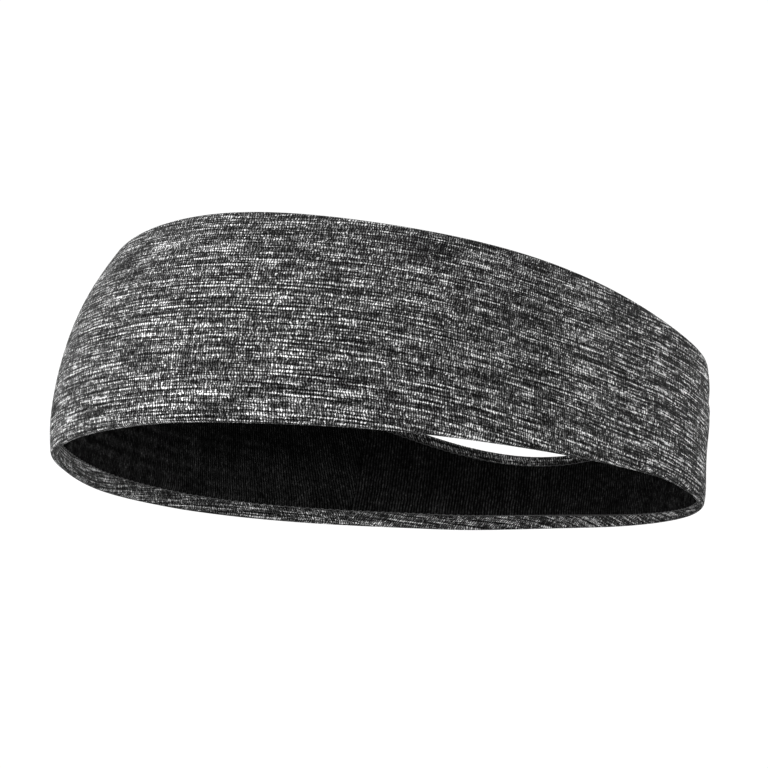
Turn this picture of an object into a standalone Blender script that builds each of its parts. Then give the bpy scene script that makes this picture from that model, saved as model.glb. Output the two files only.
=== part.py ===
"""A two-layer sports headband, wide at the forehead and narrow at the nape, in the shape it takes on a head.

Metres, +Z up as worn, the forehead towards -Y. The band stands on its level bottom edge at Z = 0.
A place on the band is given by an angle round the head (0 at the forehead, counted towards +X), a height
above the bottom edge, and a depth below the outer face, measured square to the cloth.
"""

from math import cos, pi, radians, sin

import bpy
from mathutils import Vector

# The head form at the bottom edge of the band, to the outer face of the cloth.
HALF_LENGTH = 0.0985
HALF_WIDTH = 0.0788
EGG = 0.06  # how much wider than an ellipse it is behind the ears, and narrower in front of them

# How the form grows and shrinks with height, for a height of one HALF_LENGTH.
WIDTH_SLOPE, WIDTH_CURVE = 0.07, -0.57
LENGTH_SLOPE, LENGTH_CURVE = 0.40, -1.01
BACKWARD_LEAN = 0.18
FORWARD_SHIFT = 0.00334  # brings the middle of the whole band's box to Y = 0

# The top edge: its mean height, then the sizes of one to five waves round the head, the same on both sides of
# it, and of those that set one side against the other.
TOP_EDGE_WAVES = (0.0437, 0.0148, -0.0027, 0.0015, -0.0010, 0.0006)
TOP_EDGE_SKEW = (0, -0.0004, 0, 0.0004, -0.0005, 0.0002)

CLOTH = 0.0009  # thickness of each of the two cloths
GAP = 0.0003  # left between neighbours that touch
THREAD_RADIUS = 0.00025
BAND = 2 * CLOTH + GAP  # thickness of the whole band
SEAM = 2 * GAP + 2 * THREAD_RADIUS  # width of the slot that a seam's thread lies in

# How far the shell is turned in. The bottom hem is sewn uneven, in one wave and three ripples round the head.
TOP_HEM, BOTTOM_HEM = 0.0025, 0.00355
BOTTOM_HEM_WAVE, WAVE_ANGLE = 0.0013, radians(-52)
BOTTOM_HEM_RIPPLE, RIPPLE_ANGLE = 0.0005, radians(-47)
ROUNDING = 0.0006  # size of the corners of the folded edges

SEAM_ANGLE = radians(220)  # where both strips are closed into rings, left of the nape
STATIONS = 72
RISES = 6  # steps from the bottom edge to the top edge


def outer_face(angle, height):
    level = height / HALF_LENGTH
    width = HALF_WIDTH * (1 + WIDTH_SLOPE * level + WIDTH_CURVE * level**2)
    length = HALF_LENGTH * (1 + LENGTH_SLOPE * level + LENGTH_CURVE * level**2)
    return Vector(
        (
            width * sin(angle) * (1 - EGG * cos(angle)),
            BACKWARD_LEAN * height - length * cos(angle) - FORWARD_SHIFT,
            height,
        )
    )


def inward(angle, height):
    """The direction into the band, level at the bottom edge so that the band stands flat on it."""
    step = 0.001
    along = outer_face(angle + step, height) - outer_face(angle - step, height)
    up = outer_face(angle, height + step) - outer_face(angle, height - step)
    normal = up.cross(along).normalized()
    level_below = 4 * BAND
    normal.z *= min(1, max(0, height / level_below))
    return normal.normalized()


def place(angle, height, depth):
    return outer_face(angle, height) + depth * inward(angle, height)


def top_edge(angle):
    waves = zip(TOP_EDGE_WAVES, TOP_EDGE_SKEW)
    return sum(even * cos(n * angle) + skew * sin(n * angle) for n, (even, skew) in enumerate(waves))


def bottom_hem(angle):
    wave = BOTTOM_HEM_WAVE * cos(angle - WAVE_ANGLE)
    return BOTTOM_HEM + wave + BOTTOM_HEM_RIPPLE * cos(3 * (angle - RIPPLE_ANGLE))


def lining_reach(angle):
    """Heights of the lining's lower and upper edges."""
    return bottom_hem(angle) + SEAM, top_edge(angle) - TOP_HEM - SEAM


def heights(low, high):
    return [low + (high - low) * i / RISES for i in range(RISES + 1)]


def shell_section(angle):
    """Pairs of (height, depth) on the shell's two faces, from the bottom hem's edge round to the top hem's."""
    hem, top = bottom_hem(angle), top_edge(angle)
    inner = BAND - CLOTH
    fold = [
        ((ROUNDING, BAND), (CLOTH + 0.2 * GAP, inner)),
        ((0, BAND - ROUNDING), (CLOTH, inner - 0.3 * GAP)),
        ((0, ROUNDING), (CLOTH, CLOTH + 0.3 * GAP)),
        ((ROUNDING, 0), (CLOTH + 0.2 * GAP, CLOTH)),
    ]
    top_fold = [
        ((top - height, depth), (top - other_height, other_depth))
        for (height, depth), (other_height, other_depth) in reversed(fold)
    ]
    wall = heights(ROUNDING, top - ROUNDING)[1:-1]
    return [
        ((hem, BAND), (hem, inner)),
        *fold,
        *[((height, 0), (height, CLOTH)) for height in wall],
        *top_fold,
        ((top - TOP_HEM, BAND), (top - TOP_HEM, inner)),
    ]


def lining_section(angle):
    """Pairs of (height, depth) on the lining's two faces, from its lower edge to its upper edge."""
    return [((height, BAND - CLOTH), (height, BAND)) for height in heights(*lining_reach(angle))]


def strip_angles():
    """Stations along a strip from one end to the other, with the closing seam's slot left between its ends."""
    half_slot = SEAM / 2 / outer_face(SEAM_ANGLE, 0).length
    start, end = SEAM_ANGLE + half_slot, SEAM_ANGLE + 2 * pi - half_slot
    return [start + (end - start) * i / STATIONS for i in range(STATIONS + 1)]


def add_strip(name, section):
    """A strip of cloth: its section's two faces, joined along the edges and across both ends."""
    verts, faces = [], []
    angles = strip_angles()
    pairs = len(section(angles[0]))
    for angle in angles:
        for front, back in section(angle):
            verts += [place(angle, *front), place(angle, *back)]

    def vert(station, pair, face):
        return 2 * (station * pairs + pair) + face

    for s in range(STATIONS):
        for p in range(pairs - 1):
            faces.append([vert(s, p, 0), vert(s + 1, p, 0), vert(s + 1, p + 1, 0), vert(s, p + 1, 0)])
            faces.append([vert(s, p, 1), vert(s, p + 1, 1), vert(s + 1, p + 1, 1), vert(s + 1, p, 1)])
        faces.append([vert(s, 0, 0), vert(s, 0, 1), vert(s + 1, 0, 1), vert(s + 1, 0, 0)])
        last = pairs - 1
        faces.append([vert(s, last, 0), vert(s + 1, last, 0), vert(s + 1, last, 1), vert(s, last, 1)])
    for p in range(pairs - 1):
        faces.append([vert(0, p, 0), vert(0, p + 1, 0), vert(0, p + 1, 1), vert(0, p, 1)])
        end = STATIONS
        faces.append([vert(end, p, 0), vert(end, p, 1), vert(end, p + 1, 1), vert(end, p + 1, 0)])
    mesh = bpy.data.meshes.new(name)
    mesh.from_pydata(verts, [], faces)
    mesh.shade_smooth()
    mesh.set_sharp_from_angle(angle=radians(50))
    return add_object(name, mesh)


def add_thread(name, points, closed):
    """A thread laid along points as a round curve; a closed one has no ends."""
    curve = bpy.data.curves.new(name, "CURVE")
    curve.dimensions = "3D"
    curve.bevel_depth = THREAD_RADIUS
    curve.bevel_resolution = 1
    curve.use_fill_caps = True
    spline = curve.splines.new("POLY")
    spline.points.add(len(points) - 1)
    for spline_point, point in zip(spline.points, points):
        spline_point.co = (*point, 1)
    spline.use_cyclic_u = closed
    return add_object(name, curve)


def add_object(name, data):
    obj = bpy.data.objects.new(name, data)
    bpy.context.collection.objects.link(obj)
    return obj


def paint(obj, colour, roughness):
    material = bpy.data.materials.new(obj.name)
    material.use_nodes = True
    shader = material.node_tree.nodes["Principled BSDF"]
    shader.inputs["Base Color"].default_value = (*colour, 1)
    shader.inputs["Roughness"].default_value = roughness
    shader.inputs["Metallic"].default_value = 0
    obj.data.materials.append(material)


def seam_ring(height_at):
    """Points of a thread that runs all round the inside of the band."""
    turns = [2 * pi * i / STATIONS for i in range(STATIONS)]
    return [place(turn, height_at(turn), BAND - CLOTH / 2) for turn in turns]


def shell_closing_path():
    """Points of the thread between the shell's two ends, half way through the cloth."""
    middles = []
    for (height, depth), (other_height, other_depth) in shell_section(SEAM_ANGLE):
        middles.append(((height + other_height) / 2, (depth + other_depth) / 2))
    return [place(SEAM_ANGLE, height, depth) for height, depth in middles]


def lining_closing_path():
    return [place(SEAM_ANGLE, height, BAND - CLOTH / 2) for height in heights(*lining_reach(SEAM_ANGLE))]


def main():
    for obj in list(bpy.data.objects):
        bpy.data.objects.remove(obj)
    heather_grey, thread_grey = (0.10, 0.10, 0.105), (0.16, 0.16, 0.165)
    black, thread_black = (0.012, 0.012, 0.013), (0.03, 0.03, 0.03)

    paint(add_strip("outer_shell", shell_section), heather_grey, 0.9)
    paint(add_strip("lining", lining_section), black, 0.85)

    bottom_seam = seam_ring(lambda angle: bottom_hem(angle) + SEAM / 2)
    paint(add_thread("bottom_seam_thread", bottom_seam, True), thread_grey, 0.7)
    top_seam = seam_ring(lambda angle: top_edge(angle) - TOP_HEM - SEAM / 2)
    paint(add_thread("top_seam_thread", top_seam, True), thread_grey, 0.7)
    paint(add_thread("shell_closing_thread", shell_closing_path(), False), thread_grey, 0.7)
    paint(add_thread("lining_closing_thread", lining_closing_path(), False), thread_black, 0.7)


main()
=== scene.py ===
"""Looks of a two-layer sports headband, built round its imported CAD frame.

Metres, +Z up as worn, the forehead towards -Y. A place on the band is given by an angle round the head
(0 at the forehead, counted towards +X), a height above the bottom edge, and a depth below the outer face.
The outer shell is heather-grey jersey and the lining is black rib knit. One seam closes both into rings.
"""

from math import pi, radians, tau

import bpy
import numpy as np
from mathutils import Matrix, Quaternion, Vector


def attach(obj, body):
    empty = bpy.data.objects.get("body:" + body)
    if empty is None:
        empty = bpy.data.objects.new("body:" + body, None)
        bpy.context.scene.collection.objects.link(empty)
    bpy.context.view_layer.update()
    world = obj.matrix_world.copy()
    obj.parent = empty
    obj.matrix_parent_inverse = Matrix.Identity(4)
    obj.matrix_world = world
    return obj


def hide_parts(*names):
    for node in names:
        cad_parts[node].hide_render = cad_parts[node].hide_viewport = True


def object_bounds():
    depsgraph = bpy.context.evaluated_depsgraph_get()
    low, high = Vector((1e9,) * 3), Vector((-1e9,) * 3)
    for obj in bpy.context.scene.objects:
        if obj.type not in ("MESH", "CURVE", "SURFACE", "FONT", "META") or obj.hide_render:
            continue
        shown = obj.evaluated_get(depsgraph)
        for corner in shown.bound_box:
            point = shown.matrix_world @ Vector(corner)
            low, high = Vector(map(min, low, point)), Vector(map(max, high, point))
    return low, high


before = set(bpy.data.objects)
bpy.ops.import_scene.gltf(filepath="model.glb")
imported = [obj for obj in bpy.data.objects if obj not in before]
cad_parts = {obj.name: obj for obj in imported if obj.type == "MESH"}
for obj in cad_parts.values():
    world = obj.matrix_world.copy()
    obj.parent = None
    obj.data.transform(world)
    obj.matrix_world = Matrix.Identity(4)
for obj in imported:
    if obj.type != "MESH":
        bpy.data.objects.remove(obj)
CAD_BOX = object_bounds()

# --- The band's shape, the same as in the CAD model -----------------------------------------------

HALF_LENGTH, HALF_WIDTH, EGG = 0.0985, 0.0788, 0.06
WIDTH_SLOPE, WIDTH_CURVE = 0.07, -0.57
LENGTH_SLOPE, LENGTH_CURVE = 0.40, -1.01
BACKWARD_LEAN, FORWARD_SHIFT = 0.18, 0.00334
TOP_EDGE_WAVES = (0.0437, 0.0148, -0.0027, 0.0015, -0.0010, 0.0006)
TOP_EDGE_SKEW = (0, -0.0004, 0, 0.0004, -0.0005, 0.0002)
CLOTH, GAP, THREAD_RADIUS = 0.0009, 0.0003, 0.00025
BAND = 2 * CLOTH + GAP
SEAM = 2 * GAP + 2 * THREAD_RADIUS
TOP_HEM, BOTTOM_HEM = 0.0025, 0.00355
BOTTOM_HEM_WAVE, WAVE_ANGLE = 0.0013, radians(-52)
BOTTOM_HEM_RIPPLE, RIPPLE_ANGLE = 0.0005, radians(-47)
SEAM_ANGLE = radians(220)

# --- The cloth's finer shape ----------------------------------------------------------------------

STATIONS = 720  # round the shell
RIB_PITCH, RIB_DEPTH = 0.00082, 0.00016  # the lining's ribs
RIB_LEAN, RIB_END_LEAN, RIB_END_LENGTH = 0.07, 0.40, radians(70)
RIB_HEIGHT, RIB_FADE = 0.012, 0.001  # where the ribs are counted, and how soon they start from an edge
MEAN_GIRTH = 0.545  # of the lining, which sets how many points and stitches go round it
POINTS_PER_RIB = 5
HEM_POINTS, FOLD_POINTS, WALL_POINTS = 9, 13, 46
HALF_FOLD_END = HEM_POINTS - 1 + FOLD_POINTS // 2  # the lowest point of the bottom fold, from the hem's edge
SEAM_GRIP, LINING_END_GRIP = 0.00047, 0.00053  # how far the cloths reach into a seam's slot
SHARP_ANGLE = radians(60)
VALLEY_DEPTH, VALLEY_WIDTH = 0.0004, 0.0011  # how a cloth dips where a seam pulls it in
PUCKER, PUCKER_LENGTH = 0.00022, 0.0075  # small waves along the hems
LOW_PUCKER_REACH, TOP_PUCKER_REACH, LINING_PUCKER_REACH = 0.0035, 0.0030, 0.004
EASE, EASE_LENGTH = 0.00022, 0.028  # slow waves of the whole shell
EASE_TURN, OTHER_EASE_TURN = 2.2, 3.1  # how far the two slow waves fade into each other on the way up
STITCH_LENGTH, POINTS_PER_STITCH, THREAD_SIDES = 0.0022, 10, 8
RING_STITCH_REACH, CLOSING_STITCH_REACH = 0.0001, 0.0003
STITCH_RADIUS = 0.00013
STITCH_DIP, STITCH_SQUARENESS = 0.0003, 2.2
# Where the bottom seam's thread lies slack.
SLACK_ANGLE, SLACK_SPREAD, SLACK_RISE = radians(172), 0.06, 0.0004

# The bottom edge touches the ground at the sides and lifts a little at the forehead and at the nape.
LIFT, LIFT_TWO_WAVES, LIFT_THREE_WAVES = 0.0006, 0.0007, 0.0003
LIFT_TWO_ANGLE, LIFT_THREE_ANGLE = radians(16), radians(-45)
# Stretches that lift a little more or less: angle, how far, half width round.
LOCAL_LIFTS = (
    (0, 0.00036, 14),
    (61, -0.00024, 17),
    (97, 0.00046, 10),
    (177, 0.00020, 11),
    (198, -0.00026, 9),
)

# Where the band bulges or is drawn in: angle, height, how far outwards, half width round, half width up.
BULGES = (
    (119, 0.038, 0.0011, 15, 0.0080),
    (117, 0.0285, -0.0005, 9, 0.0015),
    (122, 0.014, -0.0009, 17, 0.0090),
    (133, 0.001, 0.0009, 15, 0.0060),
    (-62, 0.041, 0.0015, 17, 0.0140),
    (-66, 0.000, -0.0014, 15, 0.0055),
    (-88, 0.000, 0.0012, 15, 0.0100),
)

# How the knit lies: wales are square to the bottom edge near one angle, and rows run along the bottom edge,
# apart from a few stretches, each with its middle, half its width, and how steeply the rows climb there.
STRAIGHT_WALE_ANGLE = radians(38)
OUTER_CLIMBS = ((62, 34, -0.125),)
HEM_CLIMBS = ((163, 26, -0.46), (212, 18, -0.10), (263, 14, 0.17))  # in the bottom hem

# The shell's jersey: how wide a column of loops is, how high a row of them, and how unevenly they lie.
WALE, COURSE = 0.00066, 0.00095
WALE_DRIFT, WALE_WANDER = 0.15, 0.31  # in wales
COURSE_DRIFT, COURSE_SHIFT, LEG_RISE = 0.2, 0.5, 0.45  # in courses; the last makes each loop a V
STRAND_SHARPNESS = 1.8  # how narrow a strand's crest is
BETWEEN_COURSES = 0.3  # how high a strand stays between two courses
HEATHER_GREY, HEATHER_CONTRAST, LOOP_CONTRAST, PALEST_HEATHER = 0.066, 1.80, 1.2, 0.85
HEATHER_GROOVE_PAINTED_SHADE, HEATHER_CREST_PAINTED_LIGHT = 0.02, 3.1  # painted shade between the strands and painted light on their crests, as shares of its grey
BOLD_PLACE, BOLD_SPREAD = 0.125, 0.050  # where the streaks are bolder and the grey darker, from the straight wale
BOLD_CONTRAST, BOLD_DARKENING = 1.20, 0.95
HEATHER_STREAKS = (  # share, length along the row, height across the rows, seed
    (0.64, 0.0170, 0.00052, 1.0),
    (0.42, 0.0055, 0.00046, 3.0),
    (0.15, 0.0010, 0.00040, 2.0),
    (0.12, 0.0220, 0.00400, 4.0),
    (0.42, 0.00045, 0.00034, 5.0),
)

# The lining's rib knit: how high a row is, and how far the ribs wander, in ribs.
LINING_COURSE, RIB_WANDER = 0.0006, 0.12
LINING_BLACK, LINING_CONTRAST, PALEST_LINING = 0.0080, 1.3, 0.3
LINING_GROOVE_PAINTED_SHADE, LINING_CREST_PAINTED_LIGHT = 0.08, 1.6  # painted shade between the ribs and painted light on their crests, as shares of its black
LINING_FLECKS = (  # share, length along the row, height across the rows, seed
    (0.45, 0.00060, 0.00150, 1.0),
    (0.35, 0.00035, 0.00045, 2.0),
    (0.20, 0.00400, 0.01200, 6.0),
)

TWIST_LENGTH = 0.0007  # of the sewing thread
NOISE_SPREAD = 7.0  # brings noise to a spread of about 1


def outer_face(angle, height):
    """Points on the outer face, for arrays of angles and heights."""
    level = height / HALF_LENGTH
    width = HALF_WIDTH * (1 + WIDTH_SLOPE * level + WIDTH_CURVE * level**2)
    length = HALF_LENGTH * (1 + LENGTH_SLOPE * level + LENGTH_CURVE * level**2)
    return np.stack(
        [
            width * np.sin(angle) * (1 - EGG * np.cos(angle)),
            BACKWARD_LEAN * height - length * np.cos(angle) - FORWARD_SHIFT,
            height + 0 * angle,
        ],
        axis=-1,
    )


def inward(angle, height):
    """The direction into the band, level at the bottom edge so that the band stands flat on it."""
    step = 0.001
    along = outer_face(angle + step, height) - outer_face(angle - step, height)
    up = outer_face(angle, height + step) - outer_face(angle, height - step)
    normal = np.cross(up, along)
    normal /= np.linalg.norm(normal, axis=-1, keepdims=True)
    normal[..., 2] *= np.clip(height / (4 * BAND), 0, 1)
    return normal / np.linalg.norm(normal, axis=-1, keepdims=True)


def place(angle, height, depth):
    """Points for places on the band, with its bulges and its lifted bottom edge counted in."""
    angle, height, depth = np.broadcast_arrays(angle, height, depth)
    depth = depth - bulge(angle, height)
    height = lifted(angle, height)
    return outer_face(angle, height) + depth[..., None] * inward(angle, height)


def hump(angle, middle, width):
    """From 1 at the middle angle to about 0 at twice the half width, both in degrees."""
    return np.exp(-((((angle - radians(middle) + pi) % tau - pi) / radians(width)) ** 2))


def bulge(angle, height):
    """How far the whole band stands out of its even form, or is drawn in, in a few places."""
    total = 0
    for middle, middle_height, outward, width, width_height in BULGES:
        level = np.exp(-(((height - middle_height) / width_height) ** 2))
        total = total + outward * hump(angle, middle, width) * level
    return total


def top_edge(angle):
    waves = zip(TOP_EDGE_WAVES, TOP_EDGE_SKEW)
    return sum(even * np.cos(n * angle) + skew * np.sin(n * angle) for n, (even, skew) in enumerate(waves))


def bottom_hem(angle):
    wave = BOTTOM_HEM_WAVE * np.cos(angle - WAVE_ANGLE)
    return BOTTOM_HEM + wave + BOTTOM_HEM_RIPPLE * np.cos(3 * (angle - RIPPLE_ANGLE))


def lining_reach(angle):
    """Heights of the lining's lower and upper edges."""
    return bottom_hem(angle) + SEAM, top_edge(angle) - TOP_HEM - SEAM


def waves_round(angle, seed, length):
    """Uneven waves of about that length, from about -1 to 1, that close without a step."""
    random = np.random.default_rng(seed)
    girth = tau * (HALF_LENGTH + HALF_WIDTH) / 2
    middle = girth / length
    total = np.zeros_like(angle)
    for turns in np.unique(np.round(middle * random.uniform(0.5, 1.6, 9))):
        total = total + np.cos(turns * angle + random.uniform(0, tau)) * random.uniform(0.5, 1)
    return total / 3


def arc_length(angle, height):
    """Distance round the outer face at each point's height, from where the wales stand straight."""
    levels = np.linspace(0, top_edge(0.0) + BAND, 12)
    turns = np.linspace(SEAM_ANGLE - 0.01, SEAM_ANGLE + tau + 0.01, 1500)
    rings = outer_face(turns[None, :], levels[:, None])
    steps = np.linalg.norm(np.diff(rings, axis=1), axis=-1)
    along = np.concatenate([np.zeros((len(levels), 1)), np.cumsum(steps, axis=1)], axis=1)
    zero = STRAIGHT_WALE_ANGLE + tau
    along = np.stack([row - np.interp(zero, turns, row) for row in along])
    at_levels = np.stack([np.interp(angle.ravel(), turns, row) for row in along])
    position = np.clip(height.ravel() / levels[1], 0, len(levels) - 1.001)
    low = position.astype(int)
    share = position - low
    column = np.arange(angle.size)
    values = at_levels[low, column] * (1 - share) + at_levels[low + 1, column] * share
    return values.reshape(angle.shape)


def row_climb(angles, climbs):
    """How far the rows have climbed above the bottom edge, from the closing seam on."""
    slope = sum(climb * hump(angles, middle, width) for middle, width, climb in climbs)
    rise = (slope[1:] + slope[:-1]) / 2 * np.diff(arc_length(angles, np.zeros_like(angles)))
    return np.concatenate([[0], np.cumsum(rise)])


def lifted(angle, height):
    """Heights of places once the bottom edge has lifted, which leaves the top edge where it is."""
    lift = (
        LIFT
        + LIFT_TWO_WAVES * np.cos(2 * (angle - LIFT_TWO_ANGLE))
        + LIFT_THREE_WAVES * np.cos(3 * (angle - LIFT_THREE_ANGLE))
    )
    for middle, rise, width in LOCAL_LIFTS:
        lift = lift + rise * hump(angle, middle, width)
    return height + np.maximum(lift, 0) * (1 - height / top_edge(angle))


# --- Meshes ---------------------------------------------------------------------------------------


def add_mesh(name, points, faces, uvs):
    """A smooth mesh from points, faces and one UV place for each point."""
    mesh = bpy.data.meshes.new(name)
    mesh.from_pydata(points.tolist(), [], faces)
    corners = np.empty(len(mesh.loops), dtype=np.int64)
    mesh.loops.foreach_get("vertex_index", corners)
    layer = mesh.uv_layers.new(name="cloth")
    layer.data.foreach_set("uv", uvs[corners].astype(np.float32).ravel())
    mesh.shade_smooth()
    obj = bpy.data.objects.new(name, mesh)
    bpy.context.collection.objects.link(obj)
    return obj


def add_strip(name, front, back, uv):
    """A closed strip of cloth from its front and back points, each a row of points for every station."""
    stations, count = front.shape[:2]
    loop = np.concatenate([np.arange(count), np.arange(2 * count - 1, count - 1, -1)])
    after = np.roll(loop, -1)
    start = (np.arange(stations - 1) * 2 * count)[:, None]
    following = start + 2 * count
    sides = np.stack([start + loop, following + loop, following + after, start + after], axis=-1)
    pair = np.arange(count - 1)
    first = np.stack([pair, pair + 1, count + pair + 1, count + pair], axis=-1)
    last = (stations - 1) * 2 * count + first[:, ::-1]
    faces = np.concatenate([sides.reshape(-1, 4), first, last])
    points = np.concatenate([front, back], axis=1).reshape(-1, 3)
    uvs = np.concatenate([uv, uv], axis=1).reshape(-1, 2)
    obj = add_mesh(name, points, faces.tolist(), uvs)
    obj.data.set_sharp_from_angle(angle=SHARP_ANGLE)
    return obj


def distance_from_axis():
    """How far the closing seam lies from the band's vertical axis."""
    return np.linalg.norm(outer_face(np.array(SEAM_ANGLE), np.array(0.0)))


def strip_angles(stations, grip):
    """Angles along a strip from one side of the closing seam to the other, closer together at both ends."""
    half_slot = (SEAM / 2 - grip) / distance_from_axis()
    even = np.linspace(SEAM_ANGLE + half_slot, SEAM_ANGLE + tau - half_slot, stations)
    near = (even[1] - even[0]) * np.array([0.15, 0.35, 0.6, 0.85])
    return np.concatenate([even[:1], even[0] + near, even[1:-1], even[-1] - near[::-1], even[-1:]])


def seam_valley(angles):
    """From 1 at the closing seam to 0 a few millimetres away."""
    away = np.minimum(angles - SEAM_ANGLE, SEAM_ANGLE + tau - angles) * distance_from_axis()
    return np.exp(-((away / VALLEY_WIDTH) ** 2))


def shell_path(hem, top):
    """The middle of the shell's cloth: heights, depths, and the direction out of its right side."""
    radius = (BAND - CLOTH) / 2
    centre = BAND / 2
    turn = np.linspace(0, pi, FOLD_POINTS)
    inner = BAND - CLOTH / 2

    def hem_run(length):
        away = np.linspace(0, length, HEM_POINTS)
        dip = VALLEY_DEPTH * np.exp(-((away / VALLEY_WIDTH) ** 2))
        return away, inner - dip

    low_away, low_depth = hem_run(hem + SEAM_GRIP - centre)
    top_away, top_depth = hem_run(TOP_HEM + SEAM_GRIP - centre)
    wall = np.linspace(centre, top - centre, WALL_POINTS)[1:-1]
    heights = np.concatenate(
        [
            hem + SEAM_GRIP - low_away[:-1],
            centre - radius * np.sin(turn),
            wall,
            top - centre + radius * np.sin(turn),
            top - TOP_HEM - SEAM_GRIP + top_away[:-1][::-1],
        ]
    )
    depths = np.concatenate(
        [
            low_depth[:-1],
            centre + radius * np.cos(turn),
            np.full(len(wall), CLOTH / 2),
            centre - radius * np.cos(turn),
            top_depth[:-1][::-1],
        ]
    )
    flat, none = np.ones(HEM_POINTS - 1), np.zeros(HEM_POINTS - 1)
    out_height = np.concatenate([none, -np.sin(turn), np.zeros(len(wall)), np.sin(turn), none])
    out_depth = np.concatenate([flat, np.cos(turn), -np.ones(len(wall)), -np.cos(turn), flat])
    return heights, depths, out_height, out_depth


def outer_shell():
    """The grey strip: outer face, both rounded folds and both hems, as one closed cloth."""
    angles = strip_angles(STATIONS, SEAM_GRIP)
    valley = seam_valley(angles)
    low_pucker = waves_round(angles, 3, PUCKER_LENGTH)
    top_pucker = waves_round(angles, 4, PUCKER_LENGTH)
    one_wave, other_wave = waves_round(angles, 5, EASE_LENGTH), waves_round(angles, 6, EASE_LENGTH)
    fronts, backs, middle_heights = [], [], []
    for i, angle in enumerate(angles):
        hem, top = bottom_hem(angle), top_edge(angle)
        heights, depths, out_height, out_depth = shell_path(hem, top)
        in_band = np.clip(heights / top, 0, 1)
        hem_side = depths > BAND / 2
        ease = EASE * np.sin(pi * in_band) * (~hem_side)
        one_share, other_share = np.cos(EASE_TURN * in_band), np.sin(OTHER_EASE_TURN * in_band)
        ease = ease * (one_wave[i] * one_share + other_wave[i] * other_share)
        near_low = np.exp(-(((heights - hem) / LOW_PUCKER_REACH) ** 2)) * hem_side
        near_top = np.exp(-(((heights - top + TOP_HEM) / TOP_PUCKER_REACH) ** 2)) * hem_side
        pucker = PUCKER * (low_pucker[i] * near_low + top_pucker[i] * near_top)
        middle = depths + ease - np.abs(pucker)
        half = CLOTH / 2
        thin = VALLEY_DEPTH * valley[i]
        fronts.append([heights + out_height * half, middle + out_depth * (half - thin)])
        backs.append([heights - out_height * half, middle - out_depth * half])
        middle_heights.append(heights)
    front, back = np.array(fronts), np.array(backs)
    grid = np.repeat(angles[:, None], front.shape[2], axis=1)
    front_points = place(grid, front[:, 0], front[:, 1])
    back_points = place(grid, back[:, 0], back[:, 1])
    front_points[..., 2] = np.maximum(front_points[..., 2], 0.0)  # the fold stands on the ground

    # Rows of loops run along the folds, apart from the stretches where they climb.
    steps = np.linalg.norm(np.diff(front_points, axis=1), axis=-1)
    along = np.concatenate([np.zeros((len(angles), 1)), np.cumsum(steps, axis=1)], axis=1)
    bottom, top = HALF_FOLD_END, along.shape[1] - 1 - HALF_FOLD_END
    row = along - along[:, bottom : bottom + 1] - row_climb(angles, OUTER_CLIMBS)[:, None]
    row[:, :bottom] += (row_climb(angles, OUTER_CLIMBS) - row_climb(angles, HEM_CLIMBS))[:, None]
    row[:, top + 1 :] = along[:, top + 1 :] - along[:, top : top + 1]
    column = arc_length(grid, np.array(middle_heights))
    return add_strip("outer_shell_cloth", front_points, back_points, np.stack([column, row], axis=-1))


def lining():
    """The black strip with real ribs on its inner face, its edges drawn down into the seams."""
    stations = int(MEAN_GIRTH / RIB_PITCH * POINTS_PER_RIB)
    angles = strip_angles(stations, LINING_END_GRIP)
    low, high = lining_reach(angles)
    low, high = low - SEAM_GRIP, high + SEAM_GRIP
    # Points up the cloth, closer together near its edges, where the seams draw it in.
    share = np.concatenate([[0, 0.012, 0.03, 0.06], np.linspace(0.1, 0.9, 9), [0.94, 0.97, 0.988, 1]])
    height = low[:, None] + (high - low)[:, None] * share[None, :]
    grid = np.repeat(angles[:, None], len(share), axis=1)
    lean = RIB_LEAN + RIB_END_LEAN * np.exp(-(angles - SEAM_ANGLE) / RIB_END_LENGTH)
    column = arc_length(grid, np.full_like(grid, RIB_HEIGHT)) - lean[:, None] * height
    edge = np.minimum(height - low[:, None], high[:, None] - height)
    dip = VALLEY_DEPTH * (np.exp(-((edge / VALLEY_WIDTH) ** 2)) + seam_valley(angles)[:, None])
    rib = RIB_DEPTH * (0.5 + 0.5 * np.cos(tau * column / RIB_PITCH)) * np.clip(edge / RIB_FADE, 0, 1)
    pucker = PUCKER / 2 * waves_round(grid, 8, PUCKER_LENGTH) * np.exp(-((edge / LINING_PUCKER_REACH) ** 2))
    front_depth = BAND - RIB_DEPTH - dip + rib - np.abs(pucker)
    front_points = place(grid, height, front_depth)
    back_points = place(grid, height, np.full_like(height, BAND - CLOTH))
    return add_strip("lining_cloth", front_points, back_points, np.stack([column, height], axis=-1))


def thread_along(name, path, closed):
    """A round thread along a path, with UVs that run along it and round it."""
    sides, radius = THREAD_SIDES, STITCH_RADIUS
    ahead = np.roll(path, -1, axis=0) - np.roll(path, 1, axis=0)
    if not closed:
        ahead[0], ahead[-1] = path[1] - path[0], path[-1] - path[-2]
    ahead /= np.linalg.norm(ahead, axis=1, keepdims=True)
    no_threads_way = np.array([0.31, 0.17, 0.93])
    level = np.cross(ahead, no_threads_way)
    level /= np.linalg.norm(level, axis=1, keepdims=True)
    other = np.cross(ahead, level)
    turn = np.arange(sides) * tau / sides
    rings = (
        path[:, None]
        + radius * np.cos(turn)[None, :, None] * level[:, None]
        + radius * np.sin(turn)[None, :, None] * other[:, None]
    )
    count = len(path)
    runs = count if closed else count - 1
    start = (np.arange(runs) * sides)[:, None]
    following = ((np.arange(runs) + 1) % count * sides)[:, None]
    side = np.arange(sides)
    after = (side + 1) % sides
    faces = np.stack([start + side, start + after, following + after, following + side], axis=-1)
    faces = faces.reshape(-1, 4).tolist()
    if not closed:
        faces += [list(range(sides))[::-1], [(count - 1) * sides + s for s in range(sides)]]
    distance = np.concatenate([[0], np.cumsum(np.linalg.norm(np.diff(path, axis=0), axis=1))])
    uvs = np.stack([np.repeat(distance, sides), np.tile(turn * radius, count)], axis=-1)
    return add_mesh(name, rings.reshape(-1, 3), faces, uvs)


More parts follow.
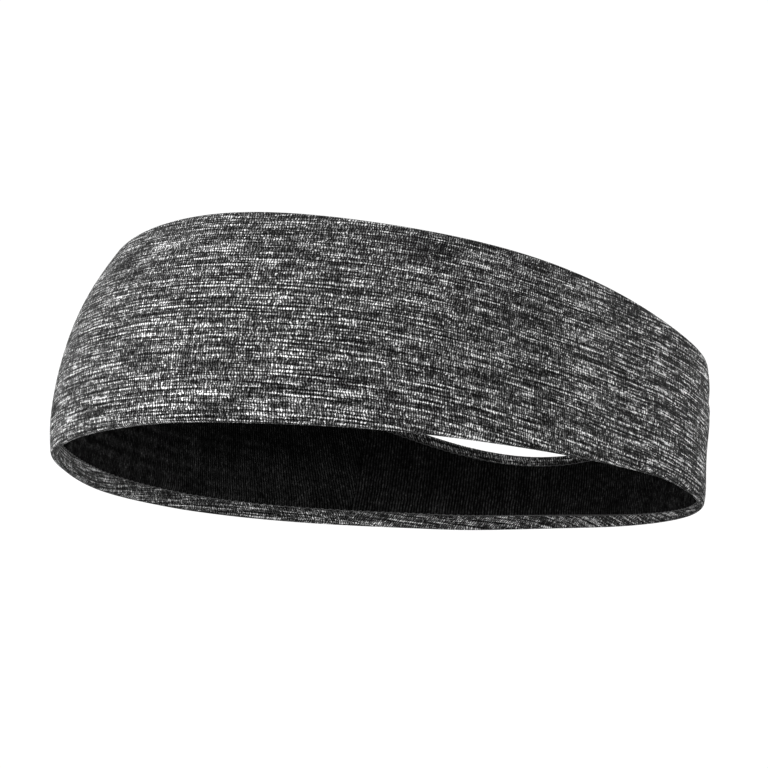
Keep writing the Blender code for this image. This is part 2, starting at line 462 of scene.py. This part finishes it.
def sway(phase):
    """From -1 to 1 and back along a stitch, with a quick crossing between two long holds."""
    return np.tanh(STITCH_SQUARENESS * np.sin(phase)) / np.tanh(STITCH_SQUARENESS)


def ring_stitches(name, height_at, slack):
    """A thread that runs in a seam all round the band, and lies on top of it where it has slack."""
    stitches = round(MEAN_GIRTH / STITCH_LENGTH)
    points = stitches * POINTS_PER_STITCH
    angle = np.arange(points) * tau / points
    phase = angle * stitches
    loose = slack * np.exp((np.cos(angle - SLACK_ANGLE) - 1) / SLACK_SPREAD)
    height = height_at(angle) + RING_STITCH_REACH * sway(phase) * (1 - loose)
    sunk = STITCH_DIP * np.abs(np.cos(phase)) ** 6 * (1 - loose)
    depth = BAND - VALLEY_DEPTH - 0.5 * STITCH_RADIUS + SLACK_RISE * loose - sunk
    return thread_along(name, place(angle, height, depth), True)


def closing_stitches(name, heights, depths):
    """A thread that sways across the closing seam on its way along a path of heights and depths."""
    steps = np.concatenate([[0], np.cumsum(np.hypot(np.diff(heights), np.diff(depths)))])
    along = np.linspace(0, steps[-1], round(steps[-1] / STITCH_LENGTH) * POINTS_PER_STITCH + 1)
    angle = SEAM_ANGLE + CLOSING_STITCH_REACH * sway(along / STITCH_LENGTH * tau) / distance_from_axis()
    height, depth = np.interp(along, steps, heights), np.interp(along, steps, depths)
    return thread_along(name, place(angle, height, depth), False)


# --- Materials ------------------------------------------------------------------------------------


class Shader:
    """Short names for building one material's nodes."""

    def __init__(self, name):
        self.material = bpy.data.materials.new(name)
        self.material.use_nodes = True
        self.tree = self.material.node_tree
        self.principled = self.tree.nodes["Principled BSDF"]
        uv = self.tree.nodes.new("ShaderNodeUVMap")
        uv.uv_map = "cloth"
        split = self.tree.nodes.new("ShaderNodeSeparateXYZ")
        self.tree.links.new(uv.outputs[0], split.inputs[0])
        self.u, self.v = split.outputs[0], split.outputs[1]

    def put(self, socket, value):
        if isinstance(value, bpy.types.NodeSocket):
            self.tree.links.new(value, socket)
        else:
            socket.default_value = value

    def math(self, operation, *values):
        node = self.tree.nodes.new("ShaderNodeMath")
        node.operation = operation
        for socket, value in zip(node.inputs, values):
            self.put(socket, value)
        return node.outputs[0]

    def noise(self, length, height, seed, detail=2.0):
        """Noise from about 0 to 1, in patches that long along the rows and that high across them."""
        node = self.tree.nodes.new("ShaderNodeTexNoise")
        node.inputs["Scale"].default_value = 1
        node.inputs["Detail"].default_value = detail
        place = self.vector(self.over(self.u, length), self.over(self.v, height), seed)
        self.put(node.inputs["Vector"], place)
        return node.outputs["Fac"]

    def uneven(self, length, height, seed, detail=2.0):
        """Noise brought from its narrow range about 0.5 to a spread of about 1 about 0."""
        noise = self.noise(length, height, seed, detail)
        return self.times(self.math("SUBTRACT", noise, 0.5), NOISE_SPREAD)

    def layers(self, table):
        """Unevenness of several sizes, from rows of (share, length, height, seed)."""
        return [self.times(self.uneven(*size, 1.0), share) for share, *size in table]

    def over(self, value, length):
        return self.math("DIVIDE", value, length)

    def times(self, value, factor):
        return self.math("MULTIPLY", value, factor)

    def add(self, first, *others):
        for other in others:
            first = self.math("ADD", first, other)
        return first

    def random(self, x, y=0.0):
        """One number from 0 to 1 for each pair of whole values."""
        node = self.tree.nodes.new("ShaderNodeTexWhiteNoise")
        node.noise_dimensions = "2D"
        self.put(node.inputs["Vector"], self.vector(x, y, 0.0))
        return node.outputs["Value"]

    def vector(self, *values):
        node = self.tree.nodes.new("ShaderNodeCombineXYZ")
        for socket, value in zip(node.inputs, values):
            self.put(socket, value)
        return node.outputs[0]

    def tint(self, grey):
        node = self.tree.nodes.new("ShaderNodeCombineColor")
        for socket in node.inputs[:3]:
            self.put(socket, grey)
        return node.outputs[0]

    def ramp(self, value, stops):
        """A colour for a value, from stops of (value, grey)."""
        node = self.tree.nodes.new("ShaderNodeValToRGB")
        elements = node.color_ramp.elements
        while len(elements) < len(stops):
            elements.new(0.5)
        for element, (position, grey) in zip(elements, stops):
            element.position = position
            element.color = (grey, grey, grey * 1.01, 1)
        self.put(node.inputs[0], value)
        return node.outputs[0]

    def bump(self, height, distance, strength):
        node = self.tree.nodes.new("ShaderNodeBump")
        node.inputs["Strength"].default_value = strength
        node.inputs["Distance"].default_value = distance
        self.put(node.inputs["Height"], height)
        self.tree.links.new(node.outputs[0], self.principled.inputs["Normal"])

    def finish(self, roughness, sheen, specular):
        inputs = self.principled.inputs
        inputs["Roughness"].default_value = roughness
        inputs["Metallic"].default_value = 0
        inputs["Specular IOR Level"].default_value = specular
        inputs["Sheen Weight"].default_value = sheen
        inputs["Sheen Roughness"].default_value = 0.45
        return self.material


def heather_knit():
    """Jersey loops in V columns, knitted from yarn whose fibres change from black to white along it, with
    painted shade in the grooves between the strands and painted light on their crests.
    """
    s = Shader("heather_knit")
    drift, wander = s.uneven(0.012, 0.006, 5.0), s.uneven(0.0020, 0.0016, 9.0)
    wale = s.add(s.over(s.u, WALE), s.times(drift, WALE_DRIFT), s.times(wander, WALE_WANDER))
    column = s.math("FLOOR", wale)
    across = s.math("ABSOLUTE", s.math("SUBTRACT", s.times(s.math("FRACT", wale), 2.0), 1.0))
    shift = s.times(s.random(column), COURSE_SHIFT)
    course = s.add(s.over(s.v, COURSE), s.times(drift, COURSE_DRIFT), shift, s.times(across, -LEG_RISE))
    swell = s.math("SINE", s.times(s.math("FRACT", course), pi))
    strand = s.math("POWER", s.math("SUBTRACT", 1.0, across), STRAND_SHARPNESS)
    loop = s.times(strand, s.add(BETWEEN_COURSES, s.times(swell, 1 - BETWEEN_COURSES)))

    each_loop = s.math("SUBTRACT", s.random(column, s.math("FLOOR", course)), 0.5)
    parts = s.layers(HEATHER_STREAKS) + [s.times(each_loop, LOOP_CONTRAST)]
    away = s.over(s.math("SUBTRACT", s.u, BOLD_PLACE), BOLD_SPREAD)
    bold = s.math("EXPONENT", s.times(s.times(away, away), -1.0))
    contrast = s.add(HEATHER_CONTRAST, s.times(bold, BOLD_CONTRAST))
    streaked = s.times(s.add(*parts), contrast)
    fibre = s.math("EXPONENT", s.add(streaked, s.times(bold, -BOLD_DARKENING)))
    # Painted shade in the grooves between the strands and painted light on their crests, following the
    # loops' shape.
    shade = s.add(HEATHER_GROOVE_PAINTED_SHADE, s.times(loop, HEATHER_CREST_PAINTED_LIGHT))
    grey = s.times(s.times(fibre, HEATHER_GREY), shade)
    grey = s.math("MINIMUM", grey, PALEST_HEATHER)
    s.put(s.principled.inputs["Base Color"], s.tint(grey))
    s.bump(loop, distance=0.00020, strength=0.6)
    return s.finish(roughness=0.95, sheen=0.04, specular=0.03)


def lining_knit():
    """Black ribs with painted light on their crests and painted shade between them, with small pale flecks.
    """
    s = Shader("lining_knit")
    wander = s.uneven(0.003, 0.003, 3.0)
    turn = s.times(s.add(s.over(s.u, RIB_PITCH), s.times(wander, RIB_WANDER)), tau)
    crest = s.add(0.5, s.times(s.math("COSINE", turn), 0.5))
    stitch = s.math("ABSOLUTE", s.math("SINE", s.times(s.over(s.v, LINING_COURSE), pi)))
    fibre = s.math("EXPONENT", s.times(s.add(*s.layers(LINING_FLECKS)), LINING_CONTRAST))
    # Painted shade between the ribs and painted light on their crests, following the ribs' shape.
    shade = s.add(LINING_GROOVE_PAINTED_SHADE, s.times(crest, LINING_CREST_PAINTED_LIGHT))
    grey = s.times(s.times(fibre, LINING_BLACK), shade)
    s.put(s.principled.inputs["Base Color"], s.tint(s.math("MINIMUM", grey, PALEST_LINING)))
    s.bump(s.times(crest, stitch), distance=0.00012, strength=0.5)
    return s.finish(roughness=0.9, sheen=0.0, specular=0.0)


def thread(name, dark, light, specular):
    """Sewing thread of two plies twisted together, darker between the plies as painted shade."""
    s = Shader(name)
    twist = s.add(s.over(s.u, TWIST_LENGTH), s.over(s.v, STITCH_RADIUS * tau))
    ply = s.math("ABSOLUTE", s.math("SINE", s.times(twist, tau)))
    mixed = s.add(s.times(ply, 0.6), s.times(s.noise(0.002, 0.001, 1.0), 0.4))
    # Darker between the plies is painted shade and paler on them painted light, mixed with random tone.
    s.put(s.principled.inputs["Base Color"], s.ramp(mixed, [(0.15, dark), (0.8, light)]))
    s.bump(ply, distance=0.00005, strength=0.6)
    return s.finish(roughness=0.7, sheen=0.0, specular=specular)


# --- The scene ------------------------------------------------------------------------------------


def hand_over(piece, node, material):
    """The piece takes the place of a CAD node, rides on the one body and gets its material."""
    piece.data.materials.append(material)
    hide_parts(node)
    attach(piece, "root")
    return piece


def band():
    shell = hand_over(outer_shell(), "outer_shell", heather_knit())
    inside = hand_over(lining(), "lining", lining_knit())
    grey = thread("seam_thread", dark=0.03, light=0.11, specular=0.1)
    black = thread("lining_thread", dark=0.001, light=0.003, specular=0.0)
    bottom = ring_stitches("bottom_seam_stitches", lambda angle: bottom_hem(angle) + SEAM / 2, 1)
    top = ring_stitches("top_seam_stitches", lambda angle: top_edge(angle) - TOP_HEM - SEAM / 2, 0)
    hand_over(bottom, "bottom_seam_thread", grey)
    hand_over(top, "top_seam_thread", grey)
    heights, depths, out_height, out_depth = shell_path(bottom_hem(SEAM_ANGLE), top_edge(SEAM_ANGLE))
    sunk = VALLEY_DEPTH + STITCH_RADIUS
    heights, depths = heights + out_height * (CLOTH / 2 - sunk), depths + out_depth * (CLOTH / 2 - sunk)
    closing = closing_stitches("shell_closing_stitches", heights, depths)
    hand_over(closing, "shell_closing_thread", grey)
    inner = closing_stitches("lining_closing_stitches", lining_reach(SEAM_ANGLE), [BAND - sunk, BAND - sunk])
    hand_over(inner, "lining_closing_thread", black)


CAMERA_AZIMUTH, CAMERA_ELEVATION, CAMERA_ROLL = radians(30.15), radians(-9.37), radians(2.23)
CAMERA_DISTANCE, CAMERA_LENS = 1.043, 187.8
AIM_DROP = 0.0010  # below the middle of the band

# Name, azimuth, elevation, distance, size and power.
LAMPS = (
    ("key", -23, 2, 1.4, 0.35, 26),
    ("left_rim", -75, 6, 1.4, 0.3, 3.8),
    ("right_rim", 152, 1, 1.4, 0.3, 14),
    ("overhead", 20, 84, 1.4, 0.6, 5),
    ("back", 205, 35, 1.5, 0.9, 9),
    ("low_right", 75, -6, 1.4, 0.1, 9.5),
    ("low_left", 12, -6.5, 1.4, 0.1, 3),
)
SURROUNDINGS = 1.05  # brightness of what the camera sees behind the band
SURROUNDING_LIGHT = 0.15  # how much of it falls on the band
FLOOR_REACH, FLOOR_FADE, FLOOR_DROP = 6.0, (0.25, 0.80), 0.0001
FLOOR_GREY, FLOOR_GLOW = 0.8, 0.15


def direction(azimuth, elevation):
    """From the band towards an azimuth (0 in front of the forehead, 90 at its +X side) and an elevation."""
    level = Vector((np.sin(azimuth), -np.cos(azimuth), 0))
    return level * float(np.cos(elevation)) + Vector((0, 0, float(np.sin(elevation))))


def camera():
    data = bpy.data.cameras.new("camera")
    data.lens = CAMERA_LENS
    data.sensor_width = 36
    obj = bpy.data.objects.new("camera", data)
    bpy.context.collection.objects.link(obj)
    middle = (CAD_BOX[0] + CAD_BOX[1]) / 2 + Vector((0, 0, -AIM_DROP))
    back = direction(CAMERA_AZIMUTH, CAMERA_ELEVATION)
    obj.location = middle + back * CAMERA_DISTANCE
    obj.rotation_mode = "QUATERNION"
    roll = Quaternion((0, 0, 1), CAMERA_ROLL)
    obj.rotation_quaternion = (-back).to_track_quat("-Z", "Y") @ roll
    bpy.context.scene.camera = obj


def area_light(name, azimuth, elevation, distance, size, power):
    data = bpy.data.lights.new(name, "AREA")
    data.energy, data.size = power, size
    obj = bpy.data.objects.new(name, data)
    bpy.context.collection.objects.link(obj)
    back = direction(radians(azimuth), radians(elevation))
    obj.location = back * distance
    obj.rotation_mode = "QUATERNION"
    obj.rotation_quaternion = (-back).to_track_quat("-Z", "Y")


def studio():
    """White surroundings for the camera, dimmer for the band, and soft lamps all round it."""
    world = bpy.data.worlds.new("studio")
    bpy.context.scene.world = world
    world.use_nodes = True
    nodes, links = world.node_tree.nodes, world.node_tree.links
    background = nodes["Background"]
    background.inputs["Color"].default_value = (1, 1, 1, 1)
    path = nodes.new("ShaderNodeLightPath")
    strength = nodes.new("ShaderNodeMapRange")
    strength.inputs["To Min"].default_value = SURROUNDING_LIGHT
    strength.inputs["To Max"].default_value = SURROUNDINGS
    links.new(path.outputs["Is Camera Ray"], strength.inputs["Value"])
    links.new(strength.outputs[0], background.inputs["Strength"])
    for lamp in LAMPS:
        area_light(*lamp)
    bpy.context.scene.view_settings.view_transform = "Standard"


def floor():
    """A pale floor that fades into the white surroundings, open from below, where the camera looks from."""
    mesh = bpy.data.meshes.new("floor")
    corners = [(-1, -1), (1, -1), (1, 1), (-1, 1)]
    points = [(x * FLOOR_REACH, y * FLOOR_REACH, -FLOOR_DROP) for x, y in corners]
    mesh.from_pydata(points, [], [(0, 1, 2, 3)])
    obj = bpy.data.objects.new("floor", mesh)
    bpy.context.collection.objects.link(obj)
    material = bpy.data.materials.new("floor")
    material.use_nodes = True
    nodes, links = material.node_tree.nodes, material.node_tree.links
    pale = nodes["Principled BSDF"]
    pale.inputs["Base Color"].default_value = (FLOOR_GREY, FLOOR_GREY, FLOOR_GREY, 1)
    pale.inputs["Roughness"].default_value = 0.9
    pale.inputs["Emission Color"].default_value = (1, 1, 1, 1)
    pale.inputs["Emission Strength"].default_value = FLOOR_GLOW
    white = nodes.new("ShaderNodeEmission")
    white.inputs["Strength"].default_value = SURROUNDINGS
    coordinates = nodes.new("ShaderNodeTexCoord")
    distance = nodes.new("ShaderNodeVectorMath")
    distance.operation = "LENGTH"
    fade = nodes.new("ShaderNodeMapRange")
    fade.interpolation_type = "SMOOTHSTEP"
    fade.inputs["From Min"].default_value, fade.inputs["From Max"].default_value = FLOOR_FADE
    links.new(coordinates.outputs["Object"], distance.inputs[0])
    links.new(distance.outputs["Value"], fade.inputs["Value"])
    fading = nodes.new("ShaderNodeMixShader")
    links.new(fade.outputs[0], fading.inputs[0])
    links.new(pale.outputs[0], fading.inputs[1])
    links.new(white.outputs[0], fading.inputs[2])
    side = nodes.new("ShaderNodeNewGeometry")
    clear = nodes.new("ShaderNodeBsdfTransparent")
    one_sided = nodes.new("ShaderNodeMixShader")
    links.new(side.outputs["Backfacing"], one_sided.inputs[0])
    links.new(fading.outputs[0], one_sided.inputs[1])
    links.new(clear.outputs[0], one_sided.inputs[2])
    links.new(one_sided.outputs[0], nodes["Material Output"].inputs["Surface"])
    mesh.materials.append(material)
    obj.visible_shadow = False  # the low lamps shine up through it


camera()
band()
studio()
floor()
